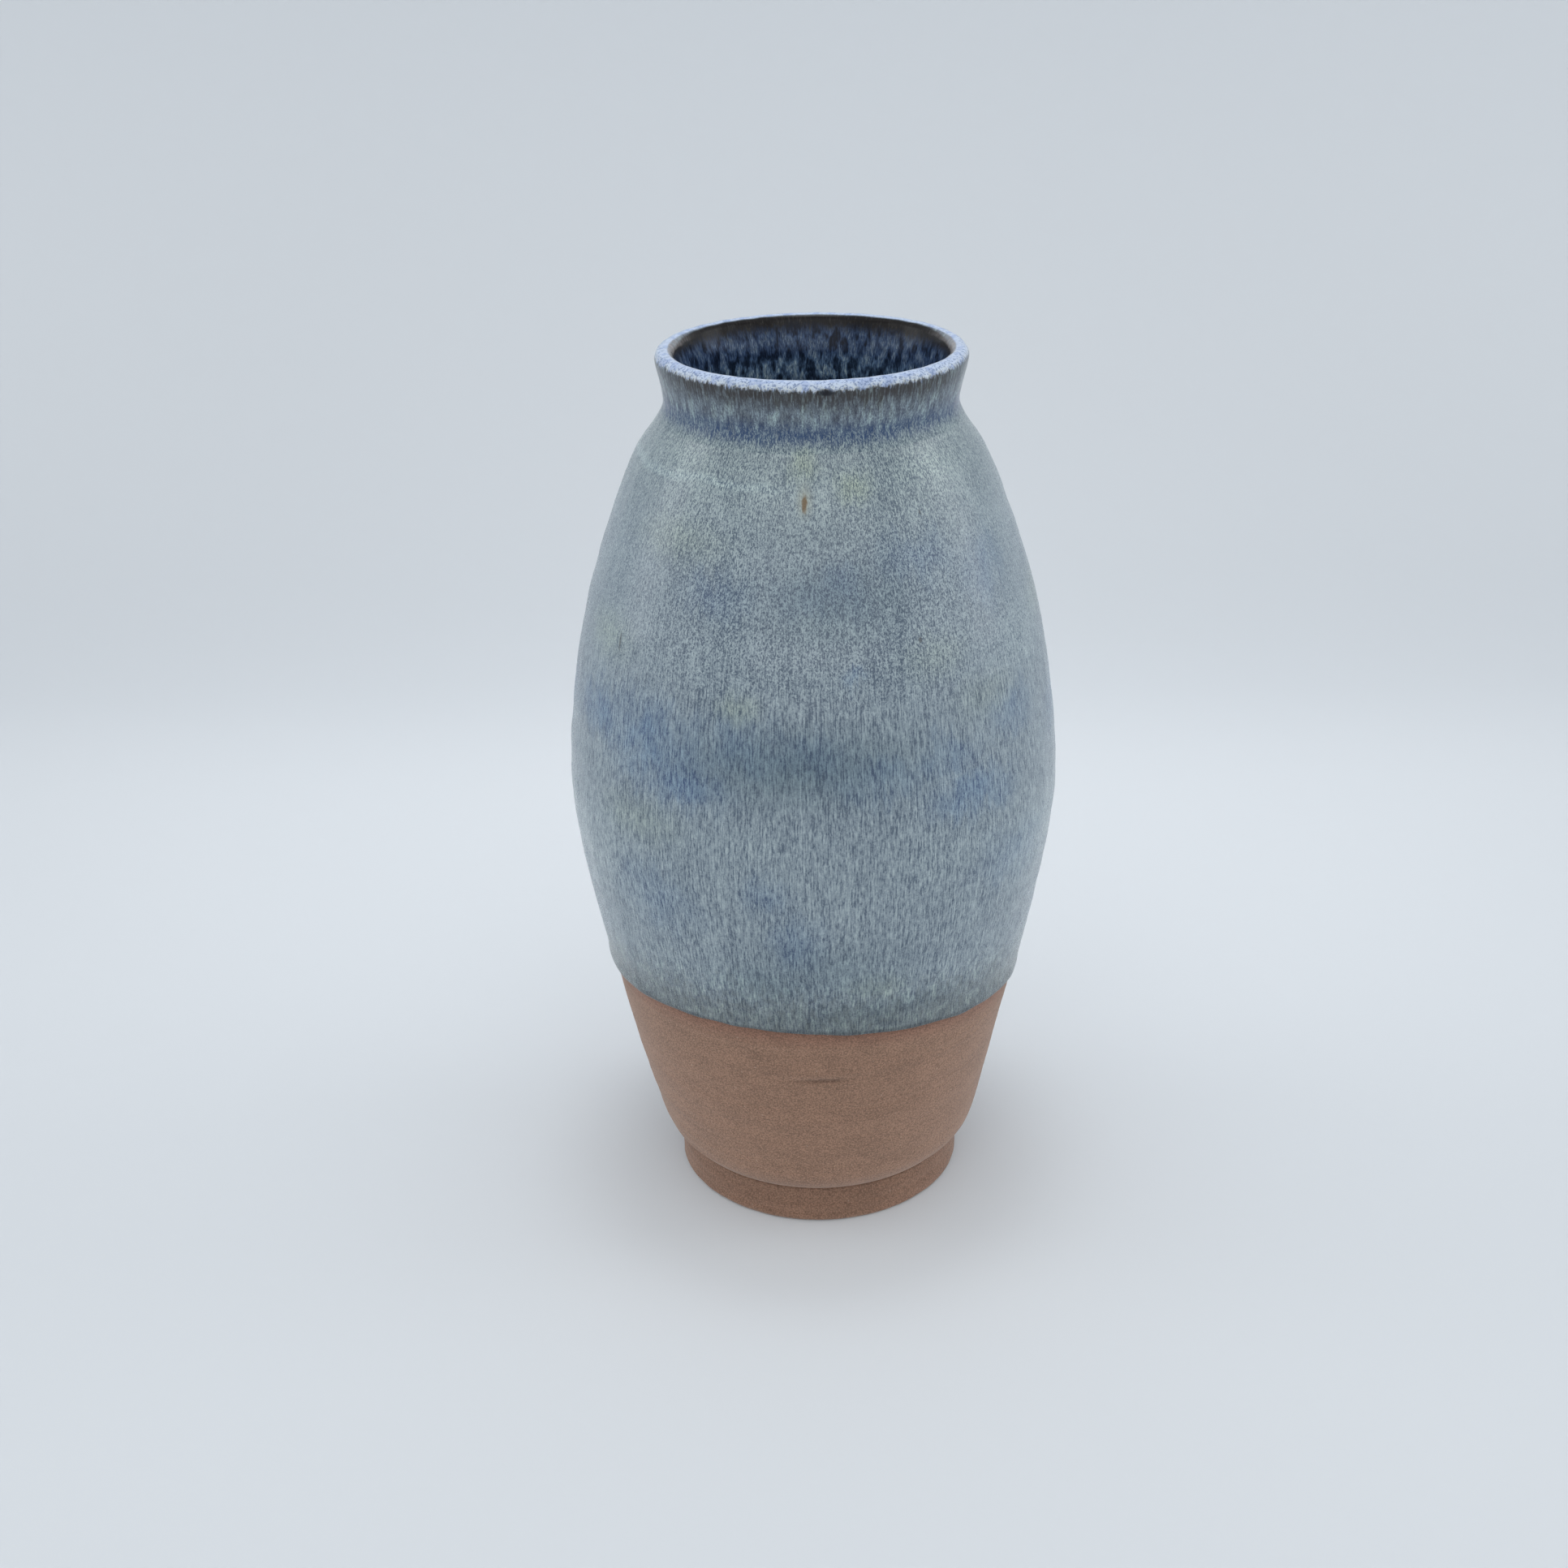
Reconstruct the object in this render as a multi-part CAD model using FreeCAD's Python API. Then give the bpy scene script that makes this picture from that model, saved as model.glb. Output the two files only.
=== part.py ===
import FreeCAD, Part
import math
import os

# A wheel-thrown stoneware vase: a foot ring, a thrown wall with its floor, and three
# coats of glaze. Millimetres, +Z up, origin at the centre of the foot's resting face.
# Every outline lies in the XZ half-plane and is turned about the Z axis.

# --- Driving dimensions -------------------------------------------------------------

HEIGHT = 230.0            # top of the glazed lip
GLAZE = 0.6               # thickness of every coat of glaze

FOOT_RADIUS = 38.75       # outside of the foot ring where it rests
FOOT_TOP_RADIUS = 38.5    # outside of the foot ring just under the groove
FOOT_HEIGHT = 11.0        # the groove between foot ring and wall
FOOT_BEVEL = 0.8          # worn edges of the resting face
GROOVE_BEVEL = 0.5        # upper edge of the foot ring, one side of the groove
RING_WIDTH = 7.0          # resting face, outer edge to recess
RECESS_DEPTH = 6.0        # hollow under the floor
RECESS_TAPER = 1.5        # the recess is this much smaller in radius at its top
FLOOR_THICKNESS = 8.0     # clay between the recess and the inside
FLOOR_FLAT_RADIUS = 27.0  # the inside floor is flat out to here
CORNER_RADIUS = 14.0      # rounding from the inside floor up to the wall
CORNER_TURN = 74          # degrees that the rounding turns through

WALL = 4.4                # clay thickness of the wall
NECK_WALL = 3.8           # clay thickness at the waist of the neck
LIP_RADIUS = 1.7          # half thickness of the rounded clay lip
LIP_CENTRE_RADIUS = 35.6  # radius of the ring along the middle of the lip
LIP_START = -8            # degrees around the lip where the outside of the neck meets it
LIP_END = 160             # degrees around the lip where the inside of the neck meets it

# Outside of the clay wall, as (height, radius), from the groove to the neck.
WALL_OUTSIDE = (
    (11.0, 38.6),         # groove
    (13.2, 41.1),         # tucked-in base of the wall
    (16.5, 43.1),
    (22.0, 44.8),
    (34.0, 47.7),
    (60.0, 53.3),
    (96.0, 60.3),
    (118.0, 62.6),        # widest point of the belly
    (140.0, 60.9),
    (170.0, 55.1),
    (192.0, 47.7),        # shoulder
    (207.0, 40.8),
    (213.0, 37.1),        # base of the neck
    (217.5, 35.6),        # waist of the neck
    (222.0, 36.1),
)
LOW_POINT = 4             # the inside follows the outside from this wall point up
NECK_POINT = 12           # the rim coat meets the outer coat at this wall point

# The outer coat was dipped: its lower edge is a flat cut that leans a little.
GLAZE_LINE_HEIGHT = 64.1  # on the axis
GLAZE_LINE_TILT = 6.6     # degrees away from level
GLAZE_LINE_LOW_SIDE = 71  # degrees from +X towards +Y, where the line is lowest

# --- Outline helpers ------------------------------------------------------------------


def at(radius, height):
    """A point of the outline half-plane."""
    return FreeCAD.Vector(radius, 0, height)


def path(*points):
    """Straight edges from each point to the next."""
    return [Part.LineSegment(a, b).toShape() for a, b in zip(points, points[1:])]


def smooth(points):
    """A smooth curve through the points."""
    curve = Part.BSplineCurve()
    curve.interpolate(Points=points)
    return curve


def stretch(curve, start, end):
    """The edge of a curve from one of its points to a later one."""
    return curve.toShape(curve.parameter(start), curve.parameter(end))


def around(centre, radius, angle_deg):
    """A point on a circle in the half-plane, at an angle from straight outwards."""
    angle = math.radians(angle_deg)
    return centre + at(radius * math.cos(angle), radius * math.sin(angle))


def arc_edge(centre, radius, start_deg, end_deg):
    middle_deg = (start_deg + end_deg) / 2
    points = [around(centre, radius, deg) for deg in (start_deg, middle_deg, end_deg)]
    return Part.Arc(*points).toShape()


def shifted(curve, point, distance):
    """A curve's point moved square to it, towards the right of the curve's direction."""
    along = curve.getD1(curve.parameter(point))[1].normalize()
    return point + FreeCAD.Vector(along.z, 0, -along.x) * distance


def turned(edges):
    """The solid that a closed outline makes when it is turned about the Z axis."""
    face = Part.Face(Part.Wire(Part.__sortEdges__(edges)))
    return face.revolve(FreeCAD.Vector(0, 0, 0), FreeCAD.Vector(0, 0, 1), 360)


# --- Curves that the pieces share -----------------------------------------------------

LIP_CENTRE = at(LIP_CENTRE_RADIUS, HEIGHT - GLAZE - LIP_RADIUS)
FLOOR_TOP = RECESS_DEPTH + FLOOR_THICKNESS
CORNER_CENTRE = at(FLOOR_FLAT_RADIUS, FLOOR_TOP + CORNER_RADIUS)
CORNER_START_DEG = CORNER_TURN - 90
RECESS_TOP_RADIUS = FOOT_RADIUS - RING_WIDTH - RECESS_TAPER


# Up the clay's outside, from the groove to the lip, and the glazed face over it.
OUTER_CLAY_POINTS = [at(radius, height) for height, radius in WALL_OUTSIDE]
OUTER_CLAY_POINTS.append(around(LIP_CENTRE, LIP_RADIUS, LIP_START))
OUTER_CLAY = smooth(OUTER_CLAY_POINTS)
OUTER_COAT_POINTS = [shifted(OUTER_CLAY, point, GLAZE) for point in OUTER_CLAY_POINTS]
OUTER_COAT_POINTS[-1] = around(LIP_CENTRE, LIP_RADIUS + GLAZE, LIP_START)
OUTER_COAT = smooth(OUTER_COAT_POINTS)

# Down the clay's inside, from the lip to the rounding above the floor, and its glazed face.
INNER_CLAY_POINTS = [around(LIP_CENTRE, LIP_RADIUS, LIP_END)]
for index in range(len(WALL_OUTSIDE) - 1, LOW_POINT - 1, -1):
    thickness = NECK_WALL if index > NECK_POINT else WALL
    INNER_CLAY_POINTS.append(shifted(OUTER_CLAY, OUTER_CLAY_POINTS[index], -thickness))
INNER_CLAY_POINTS.append(around(CORNER_CENTRE, CORNER_RADIUS, CORNER_START_DEG))
INNER_CLAY = smooth(INNER_CLAY_POINTS)
INNER_COAT_POINTS = [shifted(INNER_CLAY, point, GLAZE) for point in INNER_CLAY_POINTS]
INNER_COAT_POINTS[0] = around(LIP_CENTRE, LIP_RADIUS + GLAZE, LIP_END)
INNER_COAT_POINTS[-1] = around(CORNER_CENTRE, CORNER_RADIUS - GLAZE, CORNER_START_DEG)
INNER_COAT = smooth(INNER_COAT_POINTS)
INNER_NECK_POINT = len(WALL_OUTSIDE) - NECK_POINT

# --- Pieces ---------------------------------------------------------------------------


def make_foot_ring():
    """The ring that the vase stands on, with bevelled edges."""
    inner = FOOT_RADIUS - RING_WIDTH
    corners = (
        at(inner, 0),
        at(FOOT_RADIUS - FOOT_BEVEL, 0),
        at(FOOT_RADIUS, FOOT_BEVEL),
        at(FOOT_TOP_RADIUS, FOOT_HEIGHT - GROOVE_BEVEL),
        at(FOOT_TOP_RADIUS - GROOVE_BEVEL, FOOT_HEIGHT),
        at(RECESS_TOP_RADIUS, FOOT_HEIGHT),
        at(RECESS_TOP_RADIUS, RECESS_DEPTH),
        at(inner - FOOT_BEVEL, FOOT_BEVEL),
        at(inner, 0),
    )
    return turned(path(*corners))


def make_clay_body():
    """The thrown wall, its rounded lip, and the floor that sits down inside the ring."""
    edges = path(
        at(FLOOR_FLAT_RADIUS, FLOOR_TOP),
        at(0, FLOOR_TOP),
        at(0, RECESS_DEPTH),
        at(RECESS_TOP_RADIUS, RECESS_DEPTH),
        at(RECESS_TOP_RADIUS, FOOT_HEIGHT),
        OUTER_CLAY_POINTS[0],
    )
    edges += [
        stretch(OUTER_CLAY, OUTER_CLAY_POINTS[0], OUTER_CLAY_POINTS[-1]),
        arc_edge(LIP_CENTRE, LIP_RADIUS, LIP_START, LIP_END),
        stretch(INNER_CLAY, INNER_CLAY_POINTS[0], INNER_CLAY_POINTS[-1]),
        arc_edge(CORNER_CENTRE, CORNER_RADIUS, CORNER_START_DEG, -90),
    ]
    return turned(edges)


def above_glaze_line():
    """A block that holds everything above the tilted glaze line."""
    side = HEIGHT * 2
    block = Part.makeBox(side, side, side, FreeCAD.Vector(-side / 2, -side / 2, 0))
    low_side = math.radians(GLAZE_LINE_LOW_SIDE)
    tilt_axis = FreeCAD.Vector(-math.sin(low_side), math.cos(low_side), 0)
    block.rotate(FreeCAD.Vector(0, 0, 0), tilt_axis, GLAZE_LINE_TILT)
    block.translate(FreeCAD.Vector(0, 0, GLAZE_LINE_HEIGHT))
    return block


def make_outer_glaze():
    """The coat on the outside, from the tilted glaze line to the base of the neck."""
    start, end = LOW_POINT, NECK_POINT
    edges = [
        stretch(OUTER_CLAY, OUTER_CLAY_POINTS[start], OUTER_CLAY_POINTS[end]),
        stretch(OUTER_COAT, OUTER_COAT_POINTS[start], OUTER_COAT_POINTS[end]),
    ]
    edges += path(OUTER_CLAY_POINTS[start], OUTER_COAT_POINTS[start])
    edges += path(OUTER_CLAY_POINTS[end], OUTER_COAT_POINTS[end])
    return turned(edges).common(above_glaze_line())


def make_rim_glaze():
    """The coat over the neck and the lip, a little way down inside the mouth."""
    outer, inner = NECK_POINT, INNER_NECK_POINT
    edges = [
        stretch(OUTER_CLAY, OUTER_CLAY_POINTS[outer], OUTER_CLAY_POINTS[-1]),
        arc_edge(LIP_CENTRE, LIP_RADIUS, LIP_START, LIP_END),
        stretch(INNER_CLAY, INNER_CLAY_POINTS[0], INNER_CLAY_POINTS[inner]),
        stretch(OUTER_COAT, OUTER_COAT_POINTS[outer], OUTER_COAT_POINTS[-1]),
        arc_edge(LIP_CENTRE, LIP_RADIUS + GLAZE, LIP_START, LIP_END),
        stretch(INNER_COAT, INNER_COAT_POINTS[0], INNER_COAT_POINTS[inner]),
    ]
    edges += path(OUTER_CLAY_POINTS[outer], OUTER_COAT_POINTS[outer])
    edges += path(INNER_CLAY_POINTS[inner], INNER_COAT_POINTS[inner])
    return turned(edges)


def make_liner_glaze():
    """The poured coat on the inside wall and the floor."""
    inner = INNER_NECK_POINT
    edges = [
        stretch(INNER_CLAY, INNER_CLAY_POINTS[inner], INNER_CLAY_POINTS[-1]),
        stretch(INNER_COAT, INNER_COAT_POINTS[inner], INNER_COAT_POINTS[-1]),
        arc_edge(CORNER_CENTRE, CORNER_RADIUS, CORNER_START_DEG, -90),
        arc_edge(CORNER_CENTRE, CORNER_RADIUS - GLAZE, CORNER_START_DEG, -90),
    ]
    edges += path(INNER_CLAY_POINTS[inner], INNER_COAT_POINTS[inner])
    edges += path(
        at(FLOOR_FLAT_RADIUS, FLOOR_TOP),
        at(0, FLOOR_TOP),
        at(0, FLOOR_TOP + GLAZE),
        at(FLOOR_FLAT_RADIUS, FLOOR_TOP + GLAZE),
    )
    return turned(edges)


PIECES = {
    "foot_ring": make_foot_ring,
    "clay_body": make_clay_body,
    "outer_glaze": make_outer_glaze,
    "rim_glaze": make_rim_glaze,
    "liner_glaze": make_liner_glaze,
}

os.makedirs("parts", exist_ok=True)
for name, make in PIECES.items():
    piece = make()
    piece.exportStep(f"parts/{name}.step")
    print(name, "solids", len(piece.Solids), "valid", piece.isValid(),
          "volume", round(piece.Volume, 1), "top", round(piece.BoundBox.ZMax, 3))
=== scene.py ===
"""Looks of the stoneware vase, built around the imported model.

Blender works in metres. The vase's outlines and sizes are in millimetres here, and those of the
stage, the camera and the lights are in metres. Both are in the frame of the model: +Z up, origin
under the middle of the foot, -Y towards the camera. Angles run from +X to +Y.
"""
import math

import bpy
import numpy as np
from mathutils import Matrix, Vector


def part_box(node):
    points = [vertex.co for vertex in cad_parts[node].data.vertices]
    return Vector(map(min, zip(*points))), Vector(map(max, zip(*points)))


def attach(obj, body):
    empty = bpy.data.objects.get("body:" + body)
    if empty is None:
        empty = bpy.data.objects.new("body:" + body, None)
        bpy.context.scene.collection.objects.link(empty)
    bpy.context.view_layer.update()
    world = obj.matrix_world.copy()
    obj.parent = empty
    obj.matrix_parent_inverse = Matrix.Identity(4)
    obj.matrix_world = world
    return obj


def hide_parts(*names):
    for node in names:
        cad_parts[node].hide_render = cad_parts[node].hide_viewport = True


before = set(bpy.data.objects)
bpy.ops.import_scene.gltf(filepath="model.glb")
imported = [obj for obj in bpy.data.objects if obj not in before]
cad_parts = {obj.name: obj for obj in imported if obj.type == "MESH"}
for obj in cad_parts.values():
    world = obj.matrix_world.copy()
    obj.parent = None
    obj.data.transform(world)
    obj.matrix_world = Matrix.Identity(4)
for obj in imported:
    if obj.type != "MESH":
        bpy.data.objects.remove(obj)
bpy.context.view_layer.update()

MM = 0.001
TURN = 2 * math.pi

# --- Sizes read from the frame ----------------------------------------------------------


def corner(node, end):
    """A corner of a node's box in millimetres: end 0 is the lowest, end 1 the highest."""
    return np.array(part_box(node)[end]) / MM


FOOT_TOP = corner("foot_ring", 1)[2]
FOOT_RADIUS = corner("foot_ring", 1)[0]
COAT = corner("outer_glaze", 1)[0] - corner("clay_body", 1)[0]
LIP_TOP = corner("rim_glaze", 1)[2]
NECK_SEAM = corner("outer_glaze", 1)[2]
THROAT_SEAM = corner("rim_glaze", 0)[2]


def seam_outline(node):
    """Outline of a turned node, in order from its lowest end, as (radius, height) rows.

    The surface of a turned node starts at y = 0 on the +X side, so its outline is there.
    """
    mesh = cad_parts[node].data
    flat = [abs(v.co.y) < 1e-6 and v.co.x > -1e-6 for v in mesh.vertices]
    place = [(round(v.co.x / MM, 3), round(v.co.z / MM, 3)) for v in mesh.vertices]
    links = {}
    for edge in mesh.edges:
        a, b = edge.vertices
        if flat[a] and flat[b] and place[a] != place[b]:
            links.setdefault(place[a], set()).add(place[b])
            links.setdefault(place[b], set()).add(place[a])
    ends = [p for p in links if len(links[p]) == 1]
    chain = [min(ends, key=lambda p: p[1])] if ends else [min(links)]
    while True:
        onward = [p for p in links[chain[-1]] if p not in chain[-2:]]
        if not onward or onward[0] == chain[0]:
            return np.array(chain)
        chain.append(onward[0])


def glaze_edge_plane():
    """The tilted plane where the outer coat ends: (height on the axis, slope in x, slope in y)."""
    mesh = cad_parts["outer_glaze"].data
    under = [p for p in mesh.polygons if p.normal.z < -0.9]
    points = np.array([mesh.vertices[i].co / MM for p in under for i in p.vertices])
    return np.linalg.lstsq(
        np.column_stack([np.ones(len(points)), points[:, :2]]), points[:, 2], rcond=None
    )[0]


EDGE_HEIGHT, EDGE_SLOPE_X, EDGE_SLOPE_Y = glaze_edge_plane()


class Curve:
    """A smooth curve through (radius, height) points, by the distance along it."""

    def __init__(self, points):
        self.points = np.asarray(points, float)
        self.gaps = np.linalg.norm(np.diff(self.points, axis=0), axis=1)
        self.knots = np.concatenate([[0], np.cumsum(self.gaps)])
        count = len(self.points)
        system = np.eye(count)
        slopes = np.zeros_like(self.points)
        steps = np.diff(self.points, axis=0) / self.gaps[:, None]
        for i in range(1, count - 1):
            before, after = self.gaps[i - 1], self.gaps[i]
            system[i, i - 1 : i + 2] = before, 2 * (before + after), after
            slopes[i] = 6 * (steps[i] - steps[i - 1])
        self.bends = np.linalg.solve(system, slopes)
        self.length = self.knots[-1]

    def at(self, s):
        """Radius and height at distance s, which may be an array of any shape."""
        s = np.clip(s, 0, self.length)
        i = np.clip(np.searchsorted(self.knots, s, side="right") - 1, 0, len(self.gaps) - 1)
        gap = self.gaps[i][..., None]
        b = (s - self.knots[i])[..., None] / gap
        a = 1 - b
        line = a * self.points[i] + b * self.points[i + 1]
        bend = (a**3 - a) * self.bends[i] + (b**3 - b) * self.bends[i + 1]
        return line + bend * gap**2 / 6

    def outward(self, s):
        """Unit vector away from the clay at distance s."""
        step = 0.02
        ahead = self.at(s + step) - self.at(s - step)
        ahead /= np.linalg.norm(ahead, axis=-1, keepdims=True)
        return np.stack([ahead[..., 1], -ahead[..., 0]], axis=-1)

    def distance_to_height(self, height, lift, inside=False):
        """Distance along the curve where the surface lifted off it reaches a height."""
        s = np.linspace(0, self.length, 6000)
        z = self.at(s)[:, 1] + self.outward(s)[:, 1] * lift
        top = int(np.argmax(z))
        if inside:
            return float(np.interp(-height, -z[top:], s[top:]))
        return float(np.interp(height, z[:top], s[:top]))


clay_path = seam_outline("clay_body")
under_ring = int(np.flatnonzero(np.abs(clay_path[:, 1] - FOOT_TOP) < 0.01)[-1])
floor_edge = clay_path[-1]
floor_line = [(r, floor_edge[1]) for r in np.linspace(floor_edge[0], 0, 10)[1:]]
# The clay's surface from the groove, up the outside, over the lip and down to the floor's middle.
outline = Curve(np.vstack([clay_path[under_ring:], floor_line]))
NECK_AT = outline.distance_to_height(NECK_SEAM, COAT)
THROAT_AT = outline.distance_to_height(THROAT_SEAM, COAT, inside=True)
LIP_AT = outline.distance_to_height(LIP_TOP - 0.02, COAT)

# --- Hand-made irregularities -----------------------------------------------------------


def waves(phi, along, seed, turns, lengths, count=14):
    """Smooth random waves of about -1 to 1 that close around the pot."""
    draw = np.random.default_rng(seed)
    total = 0
    for _ in range(count):
        around = draw.integers(turns[0], turns[1] + 1)
        length = draw.uniform(*lengths) * draw.choice((-1, 1))
        total = total + np.cos(around * phi + TURN * along / length + draw.uniform(0, TURN))
    return total / math.sqrt(count)


def fade(value, start, end):
    """0 before start, 1 after end, smooth between; start may be the larger."""
    t = np.clip((value - start) / (end - start), 0, 1)
    return t * t * (3 - 2 * t)


def spot(phi, z, radius, angle, height, wide, tall):
    """A soft spot on the wall, 1 in its middle; wide and tall are half sizes in millimetres."""
    across = radius * np.angle(np.exp(1j * (phi - math.radians(angle))))
    return np.exp(-((across / wide) ** 2) - ((z - height) / tall) ** 2)


LEAN = 0.6  # how far the wall stands off centre, towards -X
LIP_DROP, LIP_DROP_AT_BACK = 0.5, 0.3  # how far the lip dips all round, and further at the back
WAIST = 0.5  # extra hollow at the base of the neck

# Ridges and grooves in the bare clay, as (angle, height, half width, half height, ridge height).
CLAY_MARKS = (
    (-142, 15.5, 12, 0.9, 0.28),
    (-40, 12.8, 10, 0.7, -0.22),
    (-89, 53.5, 7, 0.8, -0.34),
    (-86, 56, 9, 1.2, 0.08),
)


def lean(z):
    """How far the thrown wall leans towards -X between the foot and the lip."""
    return LEAN * fade(z, 12, 48) * fade(z, 226, 204)


def rim_drop(phi, z):
    """How far the lip dips below its nominal height, most at the back."""
    return (LIP_DROP + LIP_DROP_AT_BACK * np.sin(phi)) * fade(z, 212, 228)


def clay_relief(phi, s, z, r):
    """Throwing and trimming marks on the clay, in millimetres off the outline."""
    rings = 0.05 * waves(phi, s, 3, (0, 1), (9, 22))
    fine = 0.02 * waves(phi, s, 5, (0, 2), (1.9, 4.2))
    dents = 0.06 * waves(phi, s, 8, (2, 5), (40, 110))
    calm = fade(s, 0, 4) * fade(s, outline.length, outline.length - 20)
    lip = 1 - 0.75 * fade(np.abs(s - LIP_AT), 12, 4)
    marks = sum(mark[4] * spot(phi, z, r, *mark[:4]) for mark in CLAY_MARKS)
    waist = WAIST * fade(z, 203, 211) * fade(z, 220, 215)
    outside = s < LIP_AT
    return (rings + fine + dents) * calm * lip + (marks - waist) * outside


def coat_swell(phi, s):
    """Unevenness of a glaze coat: faint runs down the wall and broad, thicker pools."""
    runs = 0.035 * waves(phi, s, 12, (14, 46), (60, 200), 20)
    pools = 0.05 * waves(phi, s, 14, (1, 6), (25, 80))
    return runs + pools


def surface(phi, s, lift):
    """Points of the pot at angle phi and distance s along its outline, lifted off the clay."""
    phi, s = np.broadcast_arrays(phi, s)
    base = outline.at(s)
    outward = outline.outward(s)
    off = lift + clay_relief(phi, s, base[..., 1], base[..., 0])
    r = base[..., 0] + outward[..., 0] * off
    z = base[..., 1] + outward[..., 1] * off
    r = np.where(base[..., 0] < 1e-6, 0, r)
    return np.stack([r * np.cos(phi) - lean(z), r * np.sin(phi), z - rim_drop(phi, z)], axis=-1)


def skin(phi, s):
    """The glaze's open surface: points and unit normals."""
    turn_step, step = 1e-3, 0.03

    def lifted(p, q):
        return surface(p, q, COAT + coat_swell(*np.broadcast_arrays(p, q)))

    round_way = lifted(phi + turn_step, s) - lifted(phi - turn_step, s)
    up_way = lifted(phi, s + step) - lifted(phi, s - step)
    normal = np.cross(round_way, up_way)
    size = np.linalg.norm(normal, axis=-1, keepdims=True)
    normal = np.where(size > 1e-9, normal / np.maximum(size, 1e-9), (0, 0, 1))
    return lifted(phi, s), normal


# --- Meshes -----------------------------------------------------------------------------

COLUMNS = 420
PHI = np.arange(COLUMNS)[None, :] * TURN / COLUMNS


def make_piece(name, grid, loop, normals=None):
    """A closed mesh from rows of points around the axis.

    With loop, the last row joins the first. Otherwise the first and last rows are each one
    point on the axis. normals gives (row, unit normals) pairs for rows that meet a neighbour.
    """
    rows, columns = grid.shape[:2]
    index = np.arange(rows * columns).reshape(rows, columns)
    after = np.roll(index, -1, axis=1)
    if loop:
        low, high = index, np.roll(index, -1, axis=0)
        low_after, high_after = after, np.roll(after, -1, axis=0)
        points = grid.reshape(-1, 3)
        quads = np.stack([low, low_after, high_after, high], axis=-1).reshape(-1, 4)
        faces = quads.tolist()
    else:
        inner = index[1:-1] - columns
        inner_after = after[1:-1] - columns
        body = grid[1:-1].reshape(-1, 3)
        points = np.vstack([body, grid[0].mean(0), grid[-1].mean(0)])
        first, last = len(body), len(body) + 1
        quads = np.stack([inner[:-1], inner_after[:-1], inner_after[1:], inner[1:]], axis=-1)
        faces = quads.reshape(-1, 4).tolist()
        faces += [(first, b, a) for a, b in zip(inner[0].tolist(), inner_after[0].tolist())]
        faces += [(last, a, b) for a, b in zip(inner[-1].tolist(), inner_after[-1].tolist())]
    mesh = bpy.data.meshes.new(name)
    mesh.from_pydata((points * MM).tolist(), [], faces)
    mesh.shade_smooth()
    if normals:
        found = np.zeros(len(points) * 3, np.float32)
        mesh.vertices.foreach_get("normal", found)
        found = found.reshape(-1, 3)
        for row, given in normals:
            start = row * columns if loop else (row - 1) * columns
            found[start : start + columns] = given
        mesh.normals_split_custom_set_from_vertices(found.tolist())
    piece = bpy.data.objects.new(name, mesh)
    bpy.context.scene.collection.objects.link(piece)
    return piece


def finish_piece(piece, node, material):
    """The piece stands for one node, rides on the pot's only body and takes a slot's finish."""
    piece.data.materials.append(material)
    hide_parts(node)
    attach(piece, "root")


def glaze_edge(phi):
    """Distance along the outline where the outer coat ends at angle phi."""
    table_s = np.linspace(0, NECK_AT, 3000)
    table_r, table_z = outline.at(table_s).T
    wander = 0.22 * waves(phi, 0, 21, (2, 9), (1, 2)) + 0.10 * waves(phi, 0, 22, (12, 40), (1, 2))
    found = []
    for angle, shift in zip(phi.ravel(), wander.ravel()):
        slope = EDGE_SLOPE_X * math.cos(angle) + EDGE_SLOPE_Y * math.sin(angle)
        gap = table_z - (EDGE_HEIGHT + shift + slope * table_r)
        found.append(float(np.interp(0, gap, table_s)))
    return np.array(found).reshape(phi.shape)


BEAD_HEIGHT, BEAD_VARIES = 0.42, 0.12  # thickness that the rolled edge adds to the coat
BEAD_REACH = 2.4  # how far up the wall the bead spreads
BEAD_ROUND_OFF = 0.85  # size of the rounding at the very edge
BEAD_UNDERCUT_DEG = 32  # how far the rounding curls under


def outer_glaze():
    """The outer coat: a rolled bead at its lower edge, the wall, and the side on the clay."""
    edge = glaze_edge(PHI)
    bead_height = BEAD_HEIGHT + BEAD_VARIES * waves(PHI, 0, 24, (2, 14), (1, 2))
    turn = np.radians(np.linspace(-BEAD_UNDERCUT_DEG, 90, 13))[:, None]
    curl = math.sin(math.radians(BEAD_UNDERCUT_DEG))
    rise = (np.sin(turn) + curl) / (1 + curl)
    bead_s = edge + BEAD_ROUND_OFF * (1 - np.cos(turn))

    def lift_at(s):
        swell = bead_height * np.exp(-(((s - edge - 1.0) / BEAD_REACH) ** 2))
        return COAT + swell + coat_swell(*np.broadcast_arrays(PHI, s))

    bead = surface(PHI, bead_s, lift_at(bead_s) * rise)
    steps = np.linspace(0, 1, 192)[1:, None] ** 1.12
    wall_s = bead_s[-1:] + (NECK_AT - bead_s[-1:]) * steps
    wall = surface(PHI, wall_s, lift_at(wall_s))
    back_s = np.linspace(1, 0, 26)[:, None] * (NECK_AT - bead_s[:1]) + bead_s[:1]
    back = surface(PHI, back_s, 0.0)[:-1]
    top_row = len(bead) + len(wall) - 1
    wall[-1], top_normal = skin(PHI[0], np.full(COLUMNS, NECK_AT))
    grid = np.concatenate([bead, wall, back])
    return make_piece("outer_glaze_coat", grid, True, [(top_row, top_normal)])


def rim_glaze():
    """The coat over the neck and the lip, down to the throat."""
    s = np.linspace(NECK_AT, THROAT_AT, 96)[:, None]
    points, normals = skin(PHI, s)
    back = surface(PHI, np.linspace(THROAT_AT, NECK_AT, 30)[:, None], 0.0)
    grid = np.concatenate([points, back])
    return make_piece("rim_glaze_coat", grid, True, [(i, normals[i]) for i in range(len(s))])


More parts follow.
